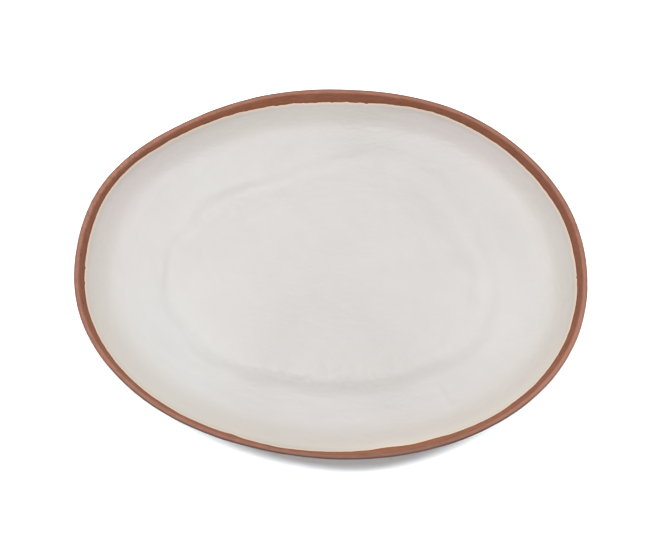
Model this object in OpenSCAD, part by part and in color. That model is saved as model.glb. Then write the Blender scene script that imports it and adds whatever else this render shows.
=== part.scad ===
// Hand-formed oval serving platter: a terracotta clay body, a coiled foot ring under it
// and an off-white glaze poured over the inside, which stops short of the bare lip.
// The origin is on the table, under the centre of the platter's box. +Z is up, +X is its length.

/* [Size] */
// Overall length, along X
length = 406; // [340:1:440]
// Overall width, along Y
width = 302; // [260:1:330]
// Height of the lip above the table, before its slight waver
height = 33; // [30:0.5:38]

/* [Lip and wall] */
// Width of the bare lip, from the outer edge to the arris inside it
lip_w = 3.8; // [3:0.1:4.5]
// Thickness of the wall just under the lip
lip_t = 4.4; // [3.5:0.1:5]
// Slope of the bare bevel inside the lip, in degrees
bevel_slope = 63; // [56:1:66]
// Slope of the glazed wall inside the bevel, in degrees
wall_slope = 33; // [30:1:38]
// Slope of the broad rim inside the wall, as fall over run
rim_fall = 0.08; // [0.04:0.01:0.1]
// Distance from the outer edge to the edge of the well
rim_w = 66; // [62:1:70]

/* [Well and foot] */
// Length of the well
well_l = 262; // [246:1:270]
// Width of the well
well_w = 184; // [166:1:190]
// How far the edge of the well lies below the rim around it
well_step = 0.8; // [0:0.1:1.5]
// How far the middle of the well stands above its edge
well_crown = 0.6; // [0:0.1:1]
// Thickness of the floor at the edge of the well
floor_t = 6; // [5:0.5:8]
// Height of the foot ring
foot_h = 5; // [5:0.5:7]
// Width of the foot ring's flat face
foot_w = 7; // [5:0.5:10]
// Distance from the edge of the well to the foot ring's outer face
foot_inset = 9; // [7:0.5:14]

/* [Glaze] */
// Thickness of the glaze
glaze_t = 0.5; // [0.3:0.1:0.8]
// Distance from the outer edge to the line where the glaze stops
glaze_line = 7.4; // [7:0.1:8]

/* [Hand-forming] */
// Strength of the waver in the outline, the lip and the glaze line
waver = 1; // [0:0.1:1.2]

/* [Hidden] */

// points around each ring
sides = 96;
// steps in the rounded top of the lip
lip_steps = 4;
// how far below the lip's crest its outer edge lies
lip_drop = 1.2;
// how square the lip's rounded top is: 1 makes it a quarter of an ellipse, and less makes it squarer
lip_square = 0.7;
// height of the upright face under the lip's outer edge
lip_face = 1.9;
// distance from the outer edge at which the bevel turns into the wall, and how gently it turns
bevel_end = 9;
bevel_bend = 0.9;
// how gently the wall turns into the rim
wall_bend = 4.5;
// where the middle of the well lies, from the centre of the outline
well_shift = [-2, -1.5];

// A waver is a sum of waves around the outline: [waves in a turn, height, angle of a crest].
// The outline's and the well's waves are a share of the radius. The others are in millimetres.
outline_waves = [
    [2, 0.010, -90], [3, 0.010, -160], [4, 0.006, -165], [5, 0.002, -10],
    [6, 0.001, -170], [7, 0.001, 10], [8, 0.002, 115], [9, 0.001, -120]
];
well_waves = [[1, 0.015, -20], [3, 0.026, -155], [4, 0.020, -125], [5, 0.012, -35]];
crest_waves = [[2, 0.3, 40], [3, 0.25, -70]];
glaze_waves = [
    [1, 0.45, 36], [2, 0.3, -65], [3, 0.5, -145], [4, 0.5, 54], [5, 0.2, 62],
    [6, 0.3, -104], [7, 0.2, -138], [8, 0.2, 81], [9, 0.2, 52]
];

// height of the clay at the edge of the well
well_z = foot_h + floor_t;
// The inside falls by rim_fall from the lip to the well. The wall adds wall_fall to that,
// and the bevel adds bevel_fall to both.
bevel_fall = tan(bevel_slope) - tan(wall_slope);
wall_fall = tan(wall_slope) - rim_fall;
// the wall turns into the rim where the platter has its depth
rim_depth = height - well_z - well_step;
wall_end = lip_w + (rim_depth - rim_fall * (rim_w - lip_w) - bevel_fall * (bevel_end - lip_w)) / wall_fall;

// distances from the outer edge, along the inside of the clay between the glaze line and the well
wall_rings = [10.5, 13.5, 17, 20.5, 24.5, 29, 35, 46, 58, 65.5];
// shares of the well's size, from its edge to its middle
well_rings = [1, 0.96, 0.7, 0.35];
// distances from the outer edge of the inside points that the outside of the wall lies under
outer_rings = [60, 46, 34, 26, 20, 15.5, 12, 9, 6.5, 5];

function turn(i) = 360 * i / sides;
function waves(t, list) = waver * [for (w = list) w[1] * cos(w[0] * t - w[2])] * [for (w = list) 1];

// The outline, fitted into the box length x width
function raw_outline(t) = (1 + waves(t, outline_waves)) * [cos(t), sin(t)];
raw_x = [for (i = [0 : sides - 1]) raw_outline(turn(i))[0]];
raw_y = [for (i = [0 : sides - 1]) raw_outline(turn(i))[1]];
function fitted(v, all, size) = (v - (max(all) + min(all)) / 2) * size / (max(all) - min(all));
function outline(t) = [fitted(raw_outline(t)[0], raw_x, length), fitted(raw_outline(t)[1], raw_y, width)];
function inward(t) = let (d = outline(t + 1) - outline(t - 1)) [-d[1], d[0]] / norm(d);

// The well's edge, and the same outline drawn in by a distance
function well_edge(t, inset = 0) =
    well_shift + (1 + waves(t, well_waves)) * [(well_l / 2 - inset) * cos(t), (well_w / 2 - inset) * sin(t)];

// The point at distance u inside the outer edge. Close to the edge it keeps that distance
// all the way round, and further in it blends into the well's outline.
function blend(u) = let (s = max(0, u - 12) / (rim_w - 12)) s * s * (3 - 2 * s);
function at(t, u) =
    let (near = outline(t) + u * inward(t), gap = well_edge(t) - outline(t) - rim_w * inward(t))
    near + blend(u) * gap;

// A slope that holds up to the distance "end" and then dies away: its share that is left at u, and the
// run from the lip to u that it has had its effect over
function share(u, end, bend) = 1 / (1 + exp((u - end) / bend));
function run(u, end, bend) = bend * (ln(1 + exp((end - lip_w) / bend)) - ln(1 + exp((end - u) / bend)));

// The inside of the clay: its depth below the crest, its slope, and the crest's own waver
function depth(u) =
    rim_fall * (u - lip_w)
    + wall_fall * run(u, wall_end, wall_bend)
    + bevel_fall * run(u, bevel_end, bevel_bend);
function slope(u) =
    atan(rim_fall + wall_fall * share(u, wall_end, wall_bend) + bevel_fall * share(u, bevel_end, bevel_bend));
function lift(t, u) = waves(t, crest_waves) * pow(max(0, 1 - u / rim_w), 2);
function inside_z(t, u) = height - depth(u) + lift(t, u);

function glaze_edge(t) = glaze_line + waves(t, glaze_waves);
function spot(t, u, z) = [at(t, u)[0], at(t, u)[1], z];
function inside_ring(u) = [for (i = [0 : sides - 1]) spot(turn(i), u, inside_z(turn(i), u))];
function edge_ring(lift_by, back) = [
    for (i = [0 : sides - 1])
        let (t = turn(i), u = glaze_edge(t) + back)
        spot(t, u, inside_z(t, u) + lift_by)
];
// a ring half-way down the bare clay, between the arris and the glaze line
bare_ring = [
    for (i = [0 : sides - 1])
        let (t = turn(i), u = (lip_w + glaze_edge(t)) / 2)
        spot(t, u, inside_z(t, u))
];
// a ring on the well's floor, at a part of the way from its middle to its edge
function crowned(part) = well_z + well_crown * (1 - part * part);
function well_ring(part) = [
    for (i = [0 : sides - 1])
        let (p = well_shift + part * (well_edge(turn(i)) - well_shift))
        [p[0], p[1], crowned(part)]
];

// The outside of the wall lies under an inside point, along the slope's normal
function wall_t(u) = lip_t + (floor_t + 0.5 - lip_t) * min(1, (u - lip_w) / 22);
function outside_ring(u) = [
    for (i = [0 : sides - 1])
        let (t = turn(i), a = slope(u), out = u - wall_t(u) * sin(a))
        spot(t, out, inside_z(t, u) - wall_t(u) * cos(a))
];
// The lip's rounded top, from the outer edge at 0 degrees to the arris at 90
function lip_ring(a) = [
    for (i = [0 : sides - 1])
        let (t = turn(i), u = lip_w * (1 - pow(cos(a), lip_square)))
        spot(t, u, height + lift(t, u) - lip_drop * (1 - pow(sin(a), lip_square)))
];

function raised(ring, by) = [for (p = ring) p + [0, 0, by]];
function flat_ring(inset, z) = [
    for (i = [0 : sides - 1])
        let (p = well_edge(turn(i), inset))
        [p[0], p[1], z]
];

// A closed solid through a list of rings, from the middle of its underside round to the middle of its top
module loft(rings, bottom, top) {
    count = len(rings);
    points = concat([bottom], [for (r = rings) for (p = r) p], [top]);
    last = len(points) - 1;
    function at_ring(r, i) = 1 + r * sides + (i % sides);
    under = [for (i = [0 : sides - 1]) [0, at_ring(0, i), at_ring(0, i + 1)]];
    skin = [
        for (r = [0 : count - 2])
            for (i = [0 : sides - 1])
                for (half = [0, 1])
                    half == 0
                        ? [at_ring(r, i), at_ring(r + 1, i), at_ring(r + 1, i + 1)]
                        : [at_ring(r, i), at_ring(r + 1, i + 1), at_ring(r, i + 1)]
    ];
    over = [for (i = [0 : sides - 1]) [last, at_ring(count - 1, i + 1), at_ring(count - 1, i)]];
    polyhedron(points, concat(under, skin, over), convexity = 6);
}

// the clay surface that the glaze lies on, from the glaze line to the middle
glazed_rings = concat(
    [edge_ring(0, 0)],
    [for (u = wall_rings) inside_ring(u)],
    [for (part = well_rings) well_ring(part)]
);

module clay_body() {
    color("#a8705f")
    loft(
        concat(
            [flat_ring(foot_inset + foot_w, foot_h), flat_ring(0, foot_h)],
            [for (u = outer_rings) outside_ring(u)],
            [raised(lip_ring(0), -lip_face)],
            [for (k = [0 : lip_steps - 1]) lip_ring(90 * k / lip_steps)],
            [inside_ring(lip_w), bare_ring],
            glazed_rings
        ),
        [well_shift[0], well_shift[1], foot_h],
        [well_shift[0], well_shift[1], crowned(0)]
    );
}

module foot_ring() {
    color("#9a6654")
    linear_extrude(foot_h)
    difference() {
        polygon([for (i = [0 : sides - 1]) well_edge(turn(i), foot_inset)]);
        polygon([for (i = [0 : sides - 1]) well_edge(turn(i), foot_inset + foot_w)]);
    }
}

module interior_glaze() {
    color("#dedad6")
    loft(
        concat(
            [for (k = [len(glazed_rings) - 1 : -1 : 0]) glazed_rings[k]],
            [edge_ring(glaze_t * 0.7, 0.15)],
            [edge_ring(glaze_t, 1)],
            [for (k = [1 : len(glazed_rings) - 1]) raised(glazed_rings[k], glaze_t)]
        ),
        [well_shift[0], well_shift[1], crowned(0)],
        [well_shift[0], well_shift[1], crowned(0) + glaze_t]
    );
}

clay_body();
foot_ring();
interior_glaze();
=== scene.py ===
import math

import bpy
import numpy as np
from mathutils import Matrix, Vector, noise


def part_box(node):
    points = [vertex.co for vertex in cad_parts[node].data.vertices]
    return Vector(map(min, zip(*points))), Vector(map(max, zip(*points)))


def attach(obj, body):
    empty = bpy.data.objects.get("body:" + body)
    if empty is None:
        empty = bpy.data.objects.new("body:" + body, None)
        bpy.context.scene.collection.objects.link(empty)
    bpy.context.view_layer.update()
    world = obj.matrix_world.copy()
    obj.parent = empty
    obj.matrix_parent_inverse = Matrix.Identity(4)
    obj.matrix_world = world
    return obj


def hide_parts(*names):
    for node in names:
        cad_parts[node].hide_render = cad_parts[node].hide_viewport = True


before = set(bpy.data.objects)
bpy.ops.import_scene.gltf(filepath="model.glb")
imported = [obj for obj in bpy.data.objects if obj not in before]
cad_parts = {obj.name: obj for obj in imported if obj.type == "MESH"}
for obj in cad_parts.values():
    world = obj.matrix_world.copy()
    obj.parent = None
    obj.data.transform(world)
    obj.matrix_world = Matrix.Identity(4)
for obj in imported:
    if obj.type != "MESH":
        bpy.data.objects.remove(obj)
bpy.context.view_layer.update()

MM = 0.001
# how far apart the patterns of two seeds lie in the noise
SEED_STEP = 7.31

# ---------------------------------------------------------------- sizes from the frame, in mm
body_low, body_high = (np.array(corner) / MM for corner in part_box("clay_body"))
LENGTH, WIDTH = (body_high - body_low)[:2]
CENTRE = (body_high + body_low)[:2] / 2
FOOT_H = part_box("foot_ring")[1].z / MM
FLOOR_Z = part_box("interior_glaze")[0].z / MM
# what the crest's waver adds to the lip's height at its highest point
CREST_RISE = 0.46
HEIGHT = body_high[2] - CREST_RISE

# ---------------------------------------------------------------- the shape's own sizes, in mm
# The bare lip: its width, how far its outer edge lies below its crest, and how square its rounded top
# is, where 1 makes it a quarter of an ellipse and less makes it squarer.
LIP_W = 3.8
LIP_DROP = 1.2
LIP_SQUARE = 0.7
# the thickness of the wall under the lip, the thickness that it grows to, and the run that it takes
LIP_T = 4.4
WALL_T = 6.5
WALL_T_RUN = 22
# where the well starts, and how far in the rings keep the outline's shape before they take the well's
RIM_W = 66.0
EVEN_W = 12
# The broad rim falls gently to the well. The wall and the bare bevel each add a steeper fall, as fall
# over run, which dies away at its inner end: bend says how gently.
RIM_FALL = 0.08
WALL_SLOPE = math.tan(math.radians(33))
WALL_FALL = WALL_SLOPE - RIM_FALL
WALL_BEND = 4.5
BEVEL_FALL = math.tan(math.radians(63)) - WALL_SLOPE
BEVEL_END = 9.0
BEVEL_BEND = 0.9
# The well: its size, where its middle lies from the platter's, how far its edge lies below the rim, and
# how far its middle stands above its edge.
WELL_SIZE = np.array([262.0, 184.0])
WELL_SHIFT = np.array([-2.0, -1.5])
WELL_STEP = 0.8
WELL_CROWN = 0.6
# how far inside the well's outline the foot's outer face lies, and the foot's width
FOOT_INSET = 9.0
FOOT_W = 7.0
# the radii of the sole's rounded edges, and of the coil's flare under the floor
FOOT_CORNER = 1.6
FOOT_FLARE = 1.2
# the glaze's thickness, and the distance from the outer edge at which it stops
GLAZE_T = 0.5
GLAZE_LINE = 7.4
# how far the glaze reaches down into the clay, and how far the clay under it is sunk, so that the two
# finely rebuilt surfaces never show through each other
GLAZE_ROOT = 0.4
CLAY_SUNK = 0.35
# distances past the well's edge carry on to this value, which is the platter's middle
MIDDLE = RIM_W + 110.0

# Waves round the platter: (waves in a turn, height, angle of a crest in degrees). The outline's and the
# well's are a share of the radius. The others are in millimetres.
OUTLINE_WAVES = (
    (2, 0.010, -90), (3, 0.010, -160), (4, 0.006, -165), (5, 0.002, -10),
    (6, 0.001, -170), (7, 0.001, 10), (8, 0.002, 115), (9, 0.001, -120),
)
WELL_WAVES = ((1, 0.015, -20), (3, 0.026, -155), (4, 0.020, -125), (5, 0.012, -35))
CREST_WAVES = ((2, 0.3, 40), (3, 0.25, -70))
GLAZE_WAVES = (
    (1, 0.45, 36), (2, 0.3, -65), (3, 0.5, -145), (4, 0.5, 54), (5, 0.2, 62),
    (6, 0.3, -104), (7, 0.2, -138), (8, 0.2, 81), (9, 0.2, 52),
)
# small breaks in the glaze's edge: (angle, depth inwards, half-width), the angles and widths in degrees
GLAZE_NICKS = (
    (178.5, 0.6, 0.5), (183.5, 0.4, 0.3), (-1.6, 0.9, 0.15),
    (91, -0.4, 0.7), (103, 0.4, 0.5), (82, 0.3, 0.4), (28, 0.3, 6.0), (57, 0.3, 4.0), (345, 0.35, 5.0),
    (234, -0.35, 2.5), (246.5, 0.9, 2.0), (258, -0.45, 2.5), (282, 0.75, 2.5), (288, -0.5, 1.6),
    (294, 0.5, 2.0), (315, 0.5, 3.5),
)

# The hand-smoothed step down into the well, as (half-width, height added to the step, shift inwards).
# The first row holds everywhere. The others take over near an angle: (angle, spread, and the same three).
WELL_BROW = (
    (11.0, 0.0, 0.0),
    (95, 16, 12.0, -0.2, 0.5), (74, 13, 17.0, -0.5, -10.0), (56, 12, 20.0, 0.5, -5.0),
    (40, 11, 17.0, 0.9, -1.0), (112, 10, 8.0, 0.3, 2.5), (129, 13, 8.5, 0.8, 1.0),
    (152, 9, 7.0, 0.4, 7.0), (177, 12, 3.8, -0.1, 0.0), (207, 13, 7.0, -0.2, 4.5),
    (232, 12, 9.0, 0.3, 3.0), (255, 14, 11.0, 1.3, 6.0), (279, 18, 13.0, 2.0, 6.0),
    (303, 13, 11.0, 1.3, 5.0), (20, 14, 13.0, 1.3, 0.0), (348, 20, 11.0, 0.8, 1.5),
)
# Places round the platter, as (angle, spread, strength), with angles in degrees: where the arris inside
# the lip lies further out or, below 0, further in, where the bevel is tanned on the far side and painted
# lighter on the near side, where it faces the light, where painted shade darkens the near lip, where the lip
# has tool marks across it or is rubbed pale, and where the glaze on the wall is pinkish.
ARRIS_SHIFTS = ((70, 42, 0.5), (147, 20, -0.7))
TANNED_AND_LIT = ((280, 22, 0.4), (108, 20, 0.35))
NEAR_LIP_SHADE = ((281, 28, 0.34),)
TOOL_MARKED = ((148, 28, 1.0),)
RUBBED = ((330, 24, 0.9),)
PINKED = ((143, 17, 1.0), (58, 17, 1.0))

# spots where the glaze is duller and darker, partly its tone and partly painted shade, and where it is
# cooler and paler, partly its tone and partly painted light: (x, y, radius, strength)
DULL_SHADE_SPOTS = (
    (-48, -62, 47, 0.60), (44, -75, 48, 0.60), (0, -5, 52, 0.38), (22, 120, 34, 0.88),
    (-34, 112, 30, 0.30), (88, 96, 44, 0.50), (138, 44, 50, 0.38), (176, -58, 32, 0.60),
    (184, -12, 28, 0.30), (-140, 74, 34, 0.30), (-106, 97, 38, 0.50),
)
COOL_LIT_SPOTS = (
    (-108, 83, 36, 0.58), (-116, -84, 42, 1.00), (-142, -30, 34, 0.80), (142, -36, 36, 0.50),
    (14, 112, 42, 0.22),
)

# a faint drip down the near side of the glaze: where it starts and ends, and half its width
DRIP = ((85, -88), (96, -110))
DRIP_HALF = 2.4

# the wall turns into the rim where the platter has its depth
RIM_DEPTH = HEIGHT - FLOOR_Z - WELL_STEP
STEEP_DEPTH = RIM_DEPTH - RIM_FALL * (RIM_W - LIP_W) - BEVEL_FALL * (BEVEL_END - LIP_W)
WALL_END = LIP_W + STEEP_DEPTH / WALL_FALL


# ---------------------------------------------------------------- shape functions
def waves(t, table):
    return sum(height * np.cos(count * t - math.radians(crest)) for count, height, crest in table)


def circle(count):
    """count angles, evenly round the platter."""
    return np.arange(count) * 2 * math.pi / count


def raw_outline(t):
    return np.stack([np.cos(t), np.sin(t)], -1) * (1 + waves(t, OUTLINE_WAVES))[..., None]


# the corners of the raw outline's box
RAW_LOW, RAW_HIGH = raw_outline(circle(1440)).min(0), raw_outline(circle(1440)).max(0)


def outline(t):
    """The platter's outer edge, fitted into the CAD body's box."""
    middle, size = (RAW_HIGH + RAW_LOW) / 2, RAW_HIGH - RAW_LOW
    return CENTRE + (raw_outline(t) - middle) * np.array([LENGTH, WIDTH]) / size


def inward(t):
    """The direction from the outer edge into the platter."""
    step = outline(t + 0.01) - outline(t - 0.01)
    turned = np.stack([-step[..., 1], step[..., 0]], -1)
    return turned / np.linalg.norm(turned, axis=-1, keepdims=True)


def well_edge(t, inset=0.0):
    """The well's outline, drawn in by inset."""
    half = WELL_SIZE / 2 - inset
    ray = np.stack([half[0] * np.cos(t), half[1] * np.sin(t)], -1)
    return WELL_SHIFT + ray * (1 + waves(t, WELL_WAVES))[..., None]


def smooth(x):
    """0 below 0, 1 above 1, and a soft step between them."""
    x = np.clip(x, 0, 1)
    return x * x * (3 - 2 * x)


def bell(x):
    """1 at 0, fading away on both sides."""
    return np.exp(-x * x)


def plan(t, u):
    """Where the point at t and u lies on the table's plane. Past RIM_W, u carries on to the middle."""
    edge, well = outline(t), well_edge(t)
    near = np.minimum(u, RIM_W)[..., None]
    shift = well - edge - RIM_W * inward(t)
    rim = edge + near * inward(t) + smooth((near - EVEN_W) / (RIM_W - EVEN_W)) * shift
    share = np.clip((u - RIM_W) / (MIDDLE - RIM_W), 0, 1)[..., None]
    return np.where(u[..., None] > RIM_W, WELL_SHIFT + (1 - share) * (well - WELL_SHIFT), rim)


def left_of(u, end, bend):
    """What is left at u of a slope that holds up to the distance end and then dies away."""
    return 1 / (1 + np.exp((u - end) / bend))


def run_of(u, end, bend):
    """The run from the lip to u that such a slope has had its effect over."""
    return bend * (np.log1p(np.exp((end - LIP_W) / bend)) - np.log1p(np.exp((end - u) / bend)))


def depth(u):
    """How far the inside of the clay lies below the lip's crest."""
    steep = WALL_FALL * run_of(u, WALL_END, WALL_BEND) + BEVEL_FALL * run_of(u, BEVEL_END, BEVEL_BEND)
    return steep + RIM_FALL * (u - LIP_W)


def slope(u):
    """The angle of the clay's inside, in radians."""
    steep = WALL_FALL * left_of(u, WALL_END, WALL_BEND) + BEVEL_FALL * left_of(u, BEVEL_END, BEVEL_BEND)
    return np.arctan(steep + RIM_FALL)


def crest_lift(t, u):
    """The crest's slow waver, which dies away towards the well."""
    return waves(t, CREST_WAVES) * np.clip(1 - u / RIM_W, 0, 1) ** 2


def near_angle(t, angle, half_width):
    """1 where the angle t is the given one, in degrees, fading away over half_width."""
    return bell(((np.degrees(t) - angle + 180) % 360 - 180) / half_width)


def marked(t, table):
    """How strong the places of a table, each an (angle, spread, strength), are at the angles t."""
    return sum(strength * near_angle(t, angle, spread) for angle, spread, strength in table)


def near_side(t, start, end):
    """0 on the far side, up to 1 where the platter's near side has turned far enough to the front."""
    return smooth((-np.sin(t) - start) / (end - start))


def around(t, table):
    """Blends rows of (angle, spread, values...) round the platter, where the first row holds elsewhere."""
    values = np.array(table[0], float)[:, None] * np.ones_like(t)
    for angle, spread, *row in table[1:]:
        here = near_angle(t, angle, spread)
        values = values + here * (np.array(row, float)[:, None] - values)
    return values


def inside_z(t, u):
    """The height of the clay's upper side: the rim, stepped down into the well, with the step's brow."""
    rim = HEIGHT - depth(np.minimum(u, RIM_W + 20)) + crest_lift(t, u)
    share = np.clip((MIDDLE - u) / (MIDDLE - RIM_W), 0, 1)
    well = FLOOR_Z + WELL_CROWN * (1 - share ** 2)
    half, extra, shift = around(t, WELL_BROW)
    past = u - RIM_W - shift
    step = smooth((past + half) / (2 * half))
    brow = extra * (0.5 - step) * bell(past / (2.2 * half))
    return rim * (1 - step) + well * step + brow


def scattered(points, frequency, seed):
    """Smooth random values from about -0.5 to 0.5 at points in metres; seed moves the pattern."""
    points = np.asarray(points)
    if points.shape[-1] == 2:
        points = np.concatenate([points, np.zeros(points.shape[:-1] + (1,))], -1)
    moved = points * frequency + seed * SEED_STEP
    return np.array([noise.noise(Vector(p)) for p in moved.reshape(-1, 3)]).reshape(points.shape[:-1])


def glaze_edge(t):
    """Where the glaze stops: a wavering line with small runs and nicks, liveliest along the far side."""
    lively = 0.20 + 0.27 * near_angle(t, 90, 24)
    run = outline(t) * MM
    ragged = scattered(run, 170, 11) * 0.9 + scattered(run, 420, 12) * 0.45
    nicks = sum(deep * near_angle(t, angle, half_width) for angle, deep, half_width in GLAZE_NICKS)
    return GLAZE_LINE + waves(t, GLAZE_WAVES) + lively * ragged + nicks


# ---------------------------------------------------------------- meshes
def ring(count, u, z):
    """One ring of a loft, as (angles, distances inside the edge, heights). u is a distance or a function
    of the angles, and z is a function of the angles and the distances."""
    t = circle(count)
    u = u(t) if callable(u) else np.full(count, float(u))
    return t, u, z(t, u)


def joined(first, first_count, second, second_count):
    """The faces between two rings, where the counts are equal or one is twice the other."""
    if first_count == second_count:
        for i in range(first_count):
            j = (i + 1) % first_count
            yield first + i, first + j, second + j, second + i
        return
    flip = first_count < second_count
    fine, coarse = (second, first) if flip else (first, second)
    count, coarse_count = max(first_count, second_count), min(first_count, second_count)
    for i in range(coarse_count):
        j = (i + 1) % coarse_count
        a, b, c = fine + 2 * i, fine + 2 * i + 1, fine + (2 * i + 2) % count
        for face in ((a, b, coarse + i), (b, coarse + j, coarse + i), (b, c, coarse + j)):
            yield face[::-1] if flip else face


def loft(name, rings):
    """A closed mesh through rings, from the middle of the underside, round the edge, to the middle of
    the top. Gives the object, and the angle and the distance inside the edge of each vertex."""
    t = np.concatenate([r[0] for r in rings])
    u = np.concatenate([r[1] for r in rings])
    z = np.concatenate([r[2] for r in rings])
    verts = np.column_stack([plan(t, u), z])
    # each ring is joined to the next, and the first and the last to a point in the middle
    counts = [len(r[0]) for r in rings]
    starts = np.concatenate([[0], np.cumsum(counts)[:-1]])
    faces = []
    for k in range(len(rings) - 1):
        faces += joined(int(starts[k]), counts[k], int(starts[k + 1]), counts[k + 1])
    for k, z_pole, turn in ((0, rings[0][2].mean(), -1), (-1, rings[-1][2].mean(), 1)):
        pole = len(verts)
        verts = np.vstack([verts, [*WELL_SHIFT, z_pole]])
        first, count = int(starts[k]), counts[k]
        for i in range(count):
            faces.append((first + i, first + (i + 1) % count, pole)[::turn])
    t, u = np.append(t, [0, 0]), np.append(u, [MIDDLE, MIDDLE])
    return mesh_object(name, verts, faces), t, u


def mesh_object(name, verts, faces):
    """A smooth-shaded object from vertices in millimetres."""
    mesh = bpy.data.meshes.new(name)
    mesh.from_pydata((verts * MM).tolist(), [], faces)
    mesh.polygons.foreach_set("use_smooth", np.ones(len(mesh.polygons), bool))
    piece = bpy.data.objects.new(name, mesh)
    bpy.context.collection.objects.link(piece)
    return piece


def positions(mesh):
    co = np.empty(len(mesh.vertices) * 3)
    mesh.vertices.foreach_get("co", co)
    return co.reshape(-1, 3)


def normals(mesh):
    out = np.empty(len(mesh.vertices) * 3)
    mesh.vertices.foreach_get("normal", out)
    return out.reshape(-1, 3)


def relieve(mesh, amount):
    """Moves each vertex out along its normal by amount, in mm."""
    co = positions(mesh) + normals(mesh) * np.asarray(amount)[:, None] * MM
    mesh.vertices.foreach_set("co", co.ravel())
    mesh.update()


def store(mesh, name, values):
    """Keeps a number or a vector for each vertex, for the materials to read."""
    values = np.asarray(values, float)
    kind, field = ("FLOAT_VECTOR", "vector") if values.ndim == 2 else ("FLOAT", "value")
    mesh.attributes.new(name, kind, "POINT").data.foreach_set(field, values.ravel())


def turning(t, u):
    """Coordinates that run round the platter: noise in them is drawn out along the rim, with no seam."""
    return np.column_stack([np.cos(t), np.sin(t), u])


# ---------------------------------------------------------------- node helpers
def add(tree, kind, values=None, **settings):
    """Adds a node. values sets its inputs, by name or number, to numbers or to another node's socket."""
    made = tree.nodes.new(kind)
    for key, value in settings.items():
        setattr(made, key, value)
    for key, value in (values or {}).items():
        if isinstance(value, bpy.types.NodeSocket):
            tree.links.new(value, made.inputs[key])
        else:
            made.inputs[key].default_value = value
    return made


def attribute(tree, name, output="Fac"):
    return add(tree, "ShaderNodeAttribute", attribute_name=name).outputs[output]


def stretched(tree, vector, scale):
    """vector times scale, axis by axis: noise in it is finer along the axes with the larger scales."""
    return add(tree, "ShaderNodeVectorMath", {0: vector, 1: scale}, operation="MULTIPLY").outputs[0]


def clouds(tree, vector, scale=1.0, detail=3.0, roughness=0.5):
    """Smooth random values from 0 to 1, mostly near the middle."""
    values = {"Vector": vector, "Scale": scale, "Detail": detail, "Roughness": roughness}
    return add(tree, "ShaderNodeTexNoise", values).outputs["Fac"]


def ranged(tree, value, low, high, out_low=0.0, out_high=1.0):
    """value from low..high brought to out_low..out_high, smoothly, and held at the ends."""
    values = {0: value, 1: low, 2: high, 3: out_low, 4: out_high}
    return add(tree, "ShaderNodeMapRange", values, interpolation_type="SMOOTHSTEP").outputs[0]


def mixed(tree, factor, first, second, blend="MIX"):
    values = {0: factor, 6: first, 7: second}
    return add(tree, "ShaderNodeMix", values, data_type="RGBA", blend_type=blend).outputs[2]


def maths(tree, operation, first, second):
    return add(tree, "ShaderNodeMath", {0: first, 1: second}, operation=operation).outputs[0]


def bumped(tree, height, strength, distance, normal=None):
    values = {"Height": height, "Strength": strength, "Distance": distance}
    if normal is not None:
        values["Normal"] = normal
    return add(tree, "ShaderNodeBump", values).outputs[0]


def new_material(name):
    material = bpy.data.materials.new(name)
    material.use_nodes = True
    return material, material.node_tree, material.node_tree.nodes["Principled BSDF"]


# ---------------------------------------------------------------- materials
# The bare clay's colours. The tints are multiplied into them.
CLAY = (0.360, 0.140, 0.082, 1)
CLAY_DARK = (0.265, 0.096, 0.054, 1)
CLAY_PALE = (0.450, 0.190, 0.117, 1)
# painted shade: a dark line along the lip's outer edge, strongest on the near side
CLAY_EDGE_SHADE = (0.085, 0.036, 0.023, 1)
# darker outside clay, which also paints the shade on the outer faces
CLAY_OUTSIDE_SHADED = (0.230, 0.092, 0.056, 1)
BURNT_TINT = (0.88, 0.85, 0.72, 1)
# the bevel's tint also paints the shade of its steep face
BEVEL_SHADE_TINT = (0.79, 0.66, 0.56, 1)
# the tanned tint also paints light on the near side's bevel, which faces the light
TANNED_AND_LIT_TINT = (0.99, 0.84, 0.58, 1)
LIP_TINT = (0.90, 0.90, 0.92, 1)
# the glaze's colours, where it is thick, and then where it is thin
GLAZE = (0.602, 0.574, 0.556, 1)
GLAZE_PALE = (0.612, 0.590, 0.572, 1)
# the duller colour also paints shade in broad spots, and the cooler, paler one paints light
GLAZE_DULL_SHADE = (0.527, 0.504, 0.476, 1)
GLAZE_COOL_LIT = (0.618, 0.610, 0.595, 1)
GLAZE_WARM = (0.658, 0.606, 0.565, 1)
GLAZE_YELLOW = (0.666, 0.620, 0.546, 1)
GLAZE_PINK = (0.669, 0.600, 0.582, 1)
# painted light, in a band just inside the glaze's edge
GLAZE_LIT_BAND = (0.716, 0.674, 0.602, 1)
GLAZE_HALO = (0.850, 0.700, 0.570, 1)
FLOOR = (0.84, 0.91, 0.94, 1)
FLOOR_PALE = (0.85, 0.92, 0.95, 1)
CERAMIC_IOR = 1.5


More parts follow.
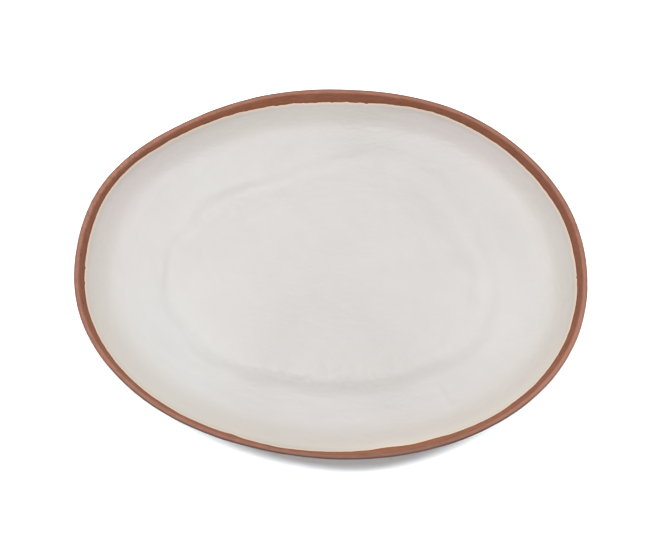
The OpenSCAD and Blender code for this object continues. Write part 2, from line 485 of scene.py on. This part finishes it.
def clay_material(name):
    """Bare fired terracotta: brush lines along the rim, blotches, fine grog and a soft cloudiness. The
    piece's attributes say where it is tool-marked, rubbed pale or burnt beside the glaze, where it is tanned
    or painted lighter, and where it is darker, partly from painted shade."""
    material, tree, shader = new_material(name)
    turn = attribute(tree, "turning", "Vector")
    place = add(tree, "ShaderNodeTexCoord").outputs["Object"]
    lines = clouds(tree, stretched(tree, turn, (14, 14, 1.7)), detail=4, roughness=0.65)
    fine_lines = clouds(tree, stretched(tree, turn, (40, 40, 5.5)), detail=3, roughness=0.6)
    cloud = clouds(tree, place, scale=60, detail=3)
    blotches = clouds(tree, stretched(tree, turn, (26, 26, 0.35)), detail=3, roughness=0.6)
    chatter = clouds(tree, stretched(tree, turn, (60, 60, 0.4)), detail=1, roughness=0.5)
    grog = clouds(tree, place, scale=1900, detail=2, roughness=0.7)
    colour = mixed(tree, ranged(tree, lines, 0.34, 0.68), CLAY_DARK, CLAY_PALE)
    colour = mixed(tree, 0.45, colour, CLAY)
    colour = mixed(tree, ranged(tree, cloud, 0.35, 0.7, 0.0, 0.35), colour, CLAY_PALE)
    colour = mixed(tree, ranged(tree, blotches, 0.52, 0.68, 0.0, 0.45), colour, CLAY_PALE)
    colour = mixed(tree, ranged(tree, blotches, 0.46, 0.30, 0.0, 0.45), colour, CLAY_DARK)
    colour = mixed(tree, ranged(tree, grog, 0.62, 0.72, 0.0, 0.35), colour, CLAY_DARK)
    colour = mixed(tree, ranged(tree, grog, 0.36, 0.28, 0.0, 0.30), colour, CLAY_PALE)
    worn = maths(tree, "MULTIPLY", attribute(tree, "chattered"), ranged(tree, chatter, 0.46, 0.56))
    worn = maths(tree, "ADD", worn, attribute(tree, "rubbed"))
    colour = mixed(tree, worn, colour, CLAY_PALE)
    burnt = mixed(tree, 1.0, colour, BURNT_TINT, "MULTIPLY")
    colour = mixed(tree, attribute(tree, "burnt"), colour, burnt)
    # painted shade on the bevel's steep face, and painted light on the near bevel, with real tan in places
    bevel_tint = mixed(tree, attribute(tree, "tanned_and_lit"), BEVEL_SHADE_TINT, TANNED_AND_LIT_TINT)
    tint = mixed(tree, attribute(tree, "bevelled"), LIP_TINT, bevel_tint)
    colour = mixed(tree, 1.0, colour, tint, "MULTIPLY")
    # the outside is darker clay, which also paints the outer faces' shade
    colour = mixed(tree, attribute(tree, "outer"), colour, CLAY_OUTSIDE_SHADED)
    # painted shade: a dark line along the outer edge, strongest on the near side, and on the near lip
    colour = mixed(tree, attribute(tree, "edge_shade"), colour, CLAY_EDGE_SHADE)
    tree.links.new(colour, shader.inputs["Base Color"])
    tree.links.new(ranged(tree, fine_lines, 0.3, 0.7, 0.46, 0.62), shader.inputs["Roughness"])
    normal = bumped(tree, lines, 0.35, 0.0006)
    normal = bumped(tree, fine_lines, 0.30, 0.0003, normal)
    normal = bumped(tree, grog, 0.20, 0.0002, normal)
    tree.links.new(normal, shader.inputs["Normal"])
    shader.inputs["IOR"].default_value = CERAMIC_IOR
    return material


def glaze_material():
    """Off-white satin glaze: duller or cooler in broad spots, partly painted shade and light, warmer where
    it thins on the wall, with a narrow halo tinted by the clay at its edge and a band of painted light just
    inside it, and faint brush streaks round the rim."""
    material, tree, shader = new_material("satin_glaze")
    turn = attribute(tree, "turning", "Vector")
    place = add(tree, "ShaderNodeTexCoord").outputs["Object"]
    cloud = clouds(tree, place, scale=22, detail=4, roughness=0.6)
    mottle = clouds(tree, place, scale=120, detail=4, roughness=0.62)
    streaks = clouds(tree, stretched(tree, turn, (16, 16, 0.45)), detail=4, roughness=0.6)
    # broad duller, darker spots and cooler, paler ones: partly the glaze's tone, partly painted shade and
    # light
    dull_shade = maths(tree, "ADD", attribute(tree, "dull_and_shaded"), ranged(tree, cloud, 0.32, 0.68, -0.08, 0.08))
    colour = mixed(tree, dull_shade, GLAZE, GLAZE_DULL_SHADE)
    colour = mixed(tree, attribute(tree, "cool_and_lit"), colour, GLAZE_COOL_LIT)
    colour = mixed(tree, ranged(tree, mottle, 0.40, 0.72, 0.0, 0.10), colour, GLAZE_PALE)
    thin = attribute(tree, "thinness")
    patchy = maths(tree, "MULTIPLY", thin, ranged(tree, streaks, 0.28, 0.68, 0.40, 0.88))
    thin_tint = mixed(tree, attribute(tree, "yellowed"), GLAZE_WARM, GLAZE_YELLOW)
    thin_tint = mixed(tree, attribute(tree, "pinked"), thin_tint, GLAZE_PINK)
    colour = mixed(tree, patchy, colour, thin_tint)
    # painted light in a band just inside the glaze's edge, strongest on the near side
    colour = mixed(tree, attribute(tree, "lit_band"), colour, GLAZE_LIT_BAND)
    colour = mixed(tree, attribute(tree, "halo"), colour, GLAZE_HALO)
    tree.links.new(colour, shader.inputs["Base Color"])
    tree.links.new(ranged(tree, mottle, 0.3, 0.7, 0.43, 0.45), shader.inputs["Roughness"])
    brushed = maths(tree, "MULTIPLY", streaks, attribute(tree, "rimward"))
    marks = clouds(tree, stretched(tree, place, (120, 260, 120)), detail=3, roughness=0.6)
    marks = maths(tree, "MULTIPLY", marks, attribute(tree, "dull_and_shaded"))
    normal = bumped(tree, brushed, 0.05, 0.0008)
    normal = bumped(tree, marks, 0.5, 0.0008, normal)
    normal = bumped(tree, mottle, 0.12, 0.0003, normal)
    tree.links.new(normal, shader.inputs["Normal"])
    shader.inputs["IOR"].default_value = CERAMIC_IOR
    return material


def floor_material():
    """A pale matt table."""
    material, tree, shader = new_material("pale_floor")
    place = add(tree, "ShaderNodeTexCoord").outputs["Object"]
    colour = mixed(tree, clouds(tree, place, scale=3), FLOOR, FLOOR_PALE)
    tree.links.new(colour, shader.inputs["Base Color"])
    shader.inputs["Roughness"].default_value = 0.9
    shader.inputs["Specular IOR Level"].default_value = 0.1
    return material


# ---------------------------------------------------------------- the platter's pieces
# Points around the rings of the lofts, from the lip and the glaze's edge, by the wall and the rim, to the
# well and its middle. Rings next to each other have the same number, or one has twice the other's.
LIP_SIDES, WALL_SIDES, WELL_SIDES, INNER_SIDES, CORE_SIDES, POLE_SIDES = 1440, 720, 360, 180, 90, 45
# the gap between the lip's arris and the first ring of the bevel
ARRIS_GAP = 0.15
# how far past the glaze's edge the bare clay's closely spaced rings go
BARE_PAST = 1.2
FIFTHS = (0.2, 0.4, 0.6, 0.8, 1.0)


def rings_at(distances, count, z):
    """Rings at several distances inside the edge, with the same count of points."""
    return [ring(count, u, z) for u in distances]


def hand_relief(co, frequency, seed):
    """A slow, uneven swell, as fingers leave in clay. co is in metres."""
    return scattered(co, frequency, seed) + 0.5 * scattered(co, frequency * 2.3, seed + 1)


def outside_ring(count, distance):
    """A ring of the outside, under the inside's ring at a distance and square to its slope."""
    t, u = circle(count), np.full(count, float(distance))
    thick = LIP_T + (WALL_T - LIP_T) * np.minimum(1, (u - LIP_W) / WALL_T_RUN)
    angle = slope(u)
    return t, u - thick * np.sin(angle), inside_z(t, u) - thick * np.cos(angle)


def lip_ring(count, angle):
    """A ring of the lip's rounded top: angle goes from 0 at the outer edge to 90 degrees at the arris."""
    t = circle(count)
    u = np.full(count, LIP_W * (1 - math.cos(angle) ** LIP_SQUARE))
    return t, u, HEIGHT + crest_lift(t, u) - LIP_DROP * (1 - math.sin(angle) ** LIP_SQUARE)


def face_ring(count, below, inset):
    """A ring of the upright face under the lip's outer edge."""
    t = circle(count)
    u = np.full(count, inset)
    return t, u, HEIGHT + crest_lift(t, u) - LIP_DROP - below


def arris_ring(count):
    """The ring just outside the arris inside the lip, which rounds it a little."""
    t = circle(count)
    return t, np.full(count, LIP_W - 0.25), inside_z(t, np.full(count, LIP_W)) - 0.05


def flat(z):
    """The same height all the way round."""
    return lambda t, u: np.full(len(t), float(z))


def between(share, past):
    """Distances a share of the way from the lip's arris to a line a little past the glaze's edge."""
    return lambda t: LIP_W + ARRIS_GAP + share * (glaze_edge(t) + past - LIP_W - ARRIS_GAP)


def past_edge(distance):
    """Distances a little past the glaze's edge."""
    return lambda t: glaze_edge(t) + distance


def toward(distance, goal, share):
    """Distances a share of the way from a line past the glaze's edge to an even distance."""
    return lambda t: (glaze_edge(t) + distance) * (1 - share) + goal * share


def clay_rings():
    """The body's rings, from the middle of the floor's underside, round the lip, to the well's middle."""
    floor = flat(FOOT_H)
    rings = rings_at([168], POLE_SIDES, floor)
    rings += rings_at([155], CORE_SIDES, floor)
    rings += rings_at([140, 125], INNER_SIDES, floor)
    rings += rings_at([110, 96, 84, 75], WELL_SIDES, floor)
    rings += rings_at([RIM_W], WALL_SIDES, floor)
    # the outside of the rim and wall
    rings += [outside_ring(WALL_SIDES, u) for u in np.arange(60, 12, -1.5)]
    rings += [outside_ring(LIP_SIDES, u) for u in (11.5, 10.3, 9.2, 8.2, 7.3, 6.5, 5.8, 5.3)]
    # the lip's face, its rounded top and its arris
    rings += [face_ring(LIP_SIDES, below, inset) for below, inset in ((2.3, 0.5), (1.6, 0.16), (0.8, 0.04))]
    rings += [lip_ring(LIP_SIDES, a) for a in np.radians([0, 3, 7, 12, 18, 26, 35, 45, 55, 65, 74, 82])]
    rings.append(arris_ring(LIP_SIDES))
    # the bare clay inside the lip, and then the clay under the glaze
    rings += rings_at([between(share, BARE_PAST) for share in np.linspace(0, 1, 10)], LIP_SIDES, inside_z)
    rings += rings_at([toward(BARE_PAST, 13.5, share) for share in FIFTHS], LIP_SIDES, inside_z)
    rings += rings_at([15, 17, 21, 26], WALL_SIDES, inside_z)
    rings += rings_at([32, 40, 50, 58, 62, 66, 70, 80, 95], WELL_SIDES, inside_z)
    rings += rings_at([115, 135], INNER_SIDES, inside_z)
    rings += rings_at([155], CORE_SIDES, inside_z)
    return rings


def clay_body():
    """The fired clay: the floor, the rim, the wall and the bare lip."""
    piece, t, u = loft("clay_shell", clay_rings())
    mesh = piece.data
    co, up = positions(mesh), normals(mesh)[:, 2]
    upper = up > 0
    past = u - glaze_edge(t)
    drop = HEIGHT + crest_lift(t, np.zeros_like(t)) - co[:, 2] / MM
    # fingers' swell on the bare clay, turned ridges on the outside, and the clay sunk under the glaze
    swell = 0.16 * hand_relief(co, 45, 1) * (1 - smooth((past + 0.3) / 0.8) * upper)
    ridges = scattered(turning(t, u) * [0.9, 0.9, 0.30], 1.0, 5) * smooth((u - 1.0) / 4)
    swell += np.where((up < 0.05) & (u < RIM_W), 0.35 * ridges, 0)
    relieve(mesh, swell - CLAY_SUNK * smooth(past / 3) * upper)
    store(mesh, "turning", turning(t, u))
    # the bare bevel, which starts at a wandering arris and whose tint paints the shade of its steep face,
    # and the burnt line beside the glaze
    arris = 0.8 * scattered(turning(t, u) * [14, 14, 0.2], 1.0, 7) + marked(t, ARRIS_SHIFTS)
    store(mesh, "bevelled", smooth((u - LIP_W + 0.5 + arris) / 1.3) * upper)
    # the bevel tanned in places, and painted lighter on the near side, where it faces the light
    store(mesh, "tanned_and_lit", 0.6 * near_side(t, 0.1, 0.9) + marked(t, TANNED_AND_LIT))
    store(mesh, "burnt", smooth((past + 2.2) / 2) * upper)
    # the outside, darker clay that also paints the shade on the outer faces, and a dark line along the outer
    # edge: faint all round, and painted shade on the near side and its lip
    store(mesh, "outer", np.where((up < 0.25) & (u < MIDDLE), smooth((drop - 1.0) / 1.5), 0))
    line = (1 - smooth((u - 0.7) / 0.9)) * (1 - smooth((drop - 2.4) / 3.5))
    near_lip_shade = marked(t, NEAR_LIP_SHADE) * (1 - smooth((u - LIP_W) / 0.8)) * upper
    store(mesh, "edge_shade", np.maximum(line * (0.22 + 0.78 * near_side(t, 0.35, 0.9)), near_lip_shade))
    # tool marks across the lip, and a rubbed stretch
    store(mesh, "chattered", marked(t, TOOL_MARKED) * (1 - smooth(u - LIP_W - 0.6)))
    store(mesh, "rubbed", marked(t, RUBBED) * (1 - smooth(u - LIP_W + 0.6)))
    return piece


def foot_profile():
    """The foot's section as (distance outwards from its middle, height), from the sole up its outer side
    and down its inner side."""
    half, side = FOOT_W / 2, []
    for angle in np.radians(np.arange(0, 91, 15)):
        side.append((half - FOOT_CORNER * (1 - math.sin(angle)), FOOT_CORNER * (1 - math.cos(angle))))
    for angle in np.radians(np.arange(0, 91, 18)):
        out = half - 0.3 + FOOT_FLARE * (1 - math.cos(angle))
        side.append((out, FOOT_H - FOOT_FLARE * (1 - math.sin(angle))))
    side = np.array(side)
    return np.vstack([side, side[::-1] * [-1, 1]])


def foot_ring():
    """The coiled foot: a flat sole with rounded edges, flared where it is pressed onto the floor."""
    profile = foot_profile()
    t = circle(WALL_SIDES)
    middle = well_edge(t, FOOT_INSET + FOOT_W / 2)
    ray = middle - WELL_SHIFT
    ray /= np.linalg.norm(ray, axis=1, keepdims=True)
    verts, faces = [], []
    for across, z in profile:
        # the sole itself stays even, and the rest of the coil wavers
        waver = 0.25 if z > 0.01 else 0.0
        wobble = waver * scattered(np.column_stack([middle * MM, np.full(len(t), across * 0.01)]), 60, 21)
        verts.append(np.column_stack([middle + ray * (across + wobble)[:, None], np.full(len(t), z)]))
    for k in range(len(profile)):
        start, following = k * len(t), (k + 1) % len(profile) * len(t)
        faces += joined(start, len(t), following, len(t))
    piece = mesh_object("foot_coil", np.vstack(verts), faces)
    turns = np.tile(t, len(profile))
    store(piece.data, "turning", turning(turns, np.repeat(profile.sum(1), len(t))))
    # the coil is darker like the outside, which also paints its shade
    store(piece.data, "outer", np.full(len(turns), 0.7))
    return piece


def glaze_thickness(t, u):
    """Vertical thickness of the glaze: a thin feather at its edge, a slight bead, then the full coat."""
    past = u - glaze_edge(t)
    return GLAZE_T * (1 - np.exp(-(past + 0.12) / 0.8)) + 0.10 * bell((past - 1.2) / 0.7)


def glaze_top(t, u):
    return inside_z(t, u) + glaze_thickness(t, u)


def glaze_under(t, u):
    return inside_z(t, u) - GLAZE_ROOT


def glaze_rings():
    """The glaze's rings, from the middle of its underside, round its edge, to the middle of its top."""
    rings = rings_at([165], POLE_SIDES, glaze_under)
    rings += rings_at([150], CORE_SIDES, glaze_under)
    rings += rings_at([130], INNER_SIDES, glaze_under)
    rings += rings_at([105, 80], WELL_SIDES, glaze_under)
    rings += rings_at([64, 50, 36, 24, 17], WALL_SIDES, glaze_under)
    rings += rings_at([past_edge(distance) for distance in (3.0, 1.0, 0.0)], LIP_SIDES, glaze_under)
    # the feathered edge, and then the top
    feather = (0.0, 0.15, 0.35, 0.6, 0.9, 1.3, 1.8, 2.5, 3.4)
    rings += rings_at([past_edge(distance) for distance in feather], LIP_SIDES, glaze_top)
    rings += rings_at([toward(feather[-1], 19.0, share) for share in FIFTHS], LIP_SIDES, glaze_top)
    rings += rings_at(np.arange(20.5, 79, 1.5), WALL_SIDES, glaze_top)
    rings += rings_at(np.arange(80, 104, 1.8), WALL_SIDES, glaze_top)
    rings += rings_at(np.arange(105, 141, 2.0), WELL_SIDES, glaze_top)
    rings += rings_at(np.arange(143, 161, 2.5), INNER_SIDES, glaze_top)
    rings += rings_at([163, 166, 169, 172], CORE_SIDES, glaze_top)
    return rings


def spotted(plan_mm, table):
    """How strong the soft round spots of a list are at points seen from above."""
    total = 0
    for x, y, radius, strength in table:
        total = total + strength * bell(np.linalg.norm(plan_mm - (x, y), axis=1) / radius)
    return total


def beside(plan_mm, start, end, half_width):
    """1 along the middle of a short line, seen from above, fading beside it and towards its ends."""
    start, run = np.array(start), np.subtract(end, start)
    share = np.clip((plan_mm - start) @ run / (run @ run), 0, 1)
    gap = np.linalg.norm(plan_mm - start - share[:, None] * run, axis=1)
    return bell(gap / half_width) * np.sin(math.pi * share)


def interior_glaze():
    """The glaze over the inside, with the relief and the tones that it has from being poured and brushed,
    and with painted light and shade in its tones.
    """
    piece, t, u = loft("glaze_coat", glaze_rings())
    mesh = piece.data
    co, up = positions(mesh), normals(mesh)[:, 2]
    spot = co[:, :2] / MM
    past = u - glaze_edge(t)
    # brush ripples that follow the rim, short strokes in two patches at the well's edge, and a drip
    spread = turning(t, u) * [5.0, 5.0, 0.16]
    ripples = scattered(spread, 1.0, 31) + 0.5 * scattered(spread * [2, 2, 2.2], 1.0, 32)
    ripples *= 1 - 0.6 * smooth((u - 90) / 40)
    patch = np.maximum(near_angle(t, 262, 42), 0.6 * near_angle(t, 126, 24)) * bell((u - 77) / 13)
    strokes = patch * (scattered(co, 115, 34) + 0.8 * scattered(co, 250, 35))
    drip = beside(spot, *DRIP, DRIP_HALF)
    swell = 0.25 * hand_relief(co, 28, 33) + 0.06 * ripples + 0.13 * strokes + 0.15 * drip
    top = (up > 0) & (past > -0.01)
    relieve(mesh, np.where(top, swell * smooth((past - 0.5) / 6), 0))
    store(mesh, "turning", turning(t, u))
    # the tones of the broad rim and the well: duller, darker spots, strokes and drip, partly the glaze's own
    # tone and partly painted shade, and cooler, paler spots, partly its own tone and partly painted light
    store(mesh, "dull_and_shaded", spotted(spot, DULL_SHADE_SPOTS) + 0.28 * strokes + 0.14 * drip)
    store(mesh, "cool_and_lit", spotted(spot, COOL_LIT_SPOTS))
    store(mesh, "rimward", 1 - smooth((u - 70) / 60))
    # the wall, where the glaze is thin, a band of painted light just inside the glaze's edge, strongest on
    # the near side, and the halo at the edge
    store(mesh, "thinness", 0.75 * (1 - smooth((past - 8) / 26)))
    store(mesh, "yellowed", near_side(t, -0.3, 0.5))
    store(mesh, "pinked", marked(t, PINKED))
    near_lit_band = 0.9 * near_side(t, 0.1, 0.75) * bell((past - 0.8) / 5)
    far_lit_band = 0.4 * near_angle(t, 135, 25) * bell((past - 1.5) / 1.6)
    store(mesh, "lit_band", near_lit_band + far_lit_band)
    store(mesh, "halo", bell(np.maximum(past - 0.35, 0) / 1.05))
    return piece


# ---------------------------------------------------------------- floor, lights and camera
# The share of full white that each light gives a white surface that faces it: the overhead panel, the
# low panels of one side together, the low one in front, and the pale room.
KEY = 0.53
SIDE = 1.05
FRONT = 0.09
FILL = 0.56
# how far the low panels at the sides rise for each metre that they are away
SIDE_RISES = (0.87, 1.38)
FLOOR_SIZE = 14
# the camera's angle above the table in degrees, its distance in metres, and its focal length in mm
CAMERA_RISE = 76
CAMERA_DISTANCE = 1.6
CAMERA_LENS = 110.5
# from the platter's centre to the point that the camera looks at, in mm
AIM_SHIFT = (-0.5, -4.25)


def make_floor():
    bpy.ops.mesh.primitive_plane_add(size=FLOOR_SIZE, location=(0, 0, 0))
    floor = bpy.context.object
    floor.name = "floor"
    floor.data.materials.append(floor_material())
    return floor


def soft_light(name, came_from, spread, share, only=None):
    """An even light from one direction, as wide as a large panel seen from the table: spread degrees.
    With only, it lights just that object."""
    light = bpy.data.lights.new(name, "SUN")
    light.energy = share * math.pi
    light.angle = math.radians(spread)
    lamp = bpy.data.objects.new(name, light)
    bpy.context.collection.objects.link(lamp)
    lamp.rotation_euler = (-Vector(came_from)).to_track_quat("-Z", "Y").to_euler()
    if only:
        lit = bpy.data.collections.new(name + "_lights")
        lit.objects.link(only)
        lamp.light_linking.receiver_collection = lit


def make_lights(floor):
    """A panel overhead, a little behind and to the left, in a pale room that looks white itself. Low
    panels, two on each side and one in front, light the table alone: it is white up to the platter."""
    soft_light("panel_overhead", (-0.05, 0.13, 1.0), 20, KEY)
    for rise in SIDE_RISES:
        soft_light("low_panel_left", (-1.0, 0.30, rise), 15, SIDE / len(SIDE_RISES), floor)
        soft_light("low_panel_right", (1.0, 0.38, rise), 15, SIDE / len(SIDE_RISES), floor)
    soft_light("low_panel_front", (0.1, -1.0, 0.8), 40, FRONT, floor)
    world = bpy.data.worlds.new("studio")
    world.use_nodes = True
    tree = world.node_tree
    background = tree.nodes["Background"]
    background.inputs["Color"].default_value = (1, 1, 1, 1)
    seen = add(tree, "ShaderNodeLightPath").outputs["Is Camera Ray"]
    tree.links.new(ranged(tree, seen, 0, 1, FILL, 1.0), background.inputs["Strength"])
    bpy.context.scene.world = world


def make_camera():
    """Looks down from the platter's near long side, CAMERA_RISE degrees above the table."""
    rise = math.radians(CAMERA_RISE)
    back = Vector((0, -math.cos(rise), math.sin(rise)))
    aim = Vector((*(CENTRE + AIM_SHIFT) * MM, HEIGHT * MM))
    camera = bpy.data.cameras.new("camera")
    camera.sensor_width = 36
    camera.lens = CAMERA_LENS
    camera.clip_start, camera.clip_end = 0.05, 40
    holder = bpy.data.objects.new("camera", camera)
    bpy.context.collection.objects.link(holder)
    holder.location = aim + CAMERA_DISTANCE * back
    holder.rotation_euler = (-back).to_track_quat("-Z", "Y").to_euler()
    bpy.context.scene.camera = holder


def hand_over(piece, node, material):
    """Gives a piece its material, and says what it rides on and what it replaces."""
    piece.data.materials.append(material)
    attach(piece, "root")
    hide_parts(node)


make_camera()
make_lights(make_floor())
hand_over(clay_body(), "clay_body", clay_material("terracotta"))
hand_over(foot_ring(), "foot_ring", clay_material("foot_clay"))
hand_over(interior_glaze(), "interior_glaze", glaze_material())

bpy.context.scene.view_settings.view_transform = "Standard"
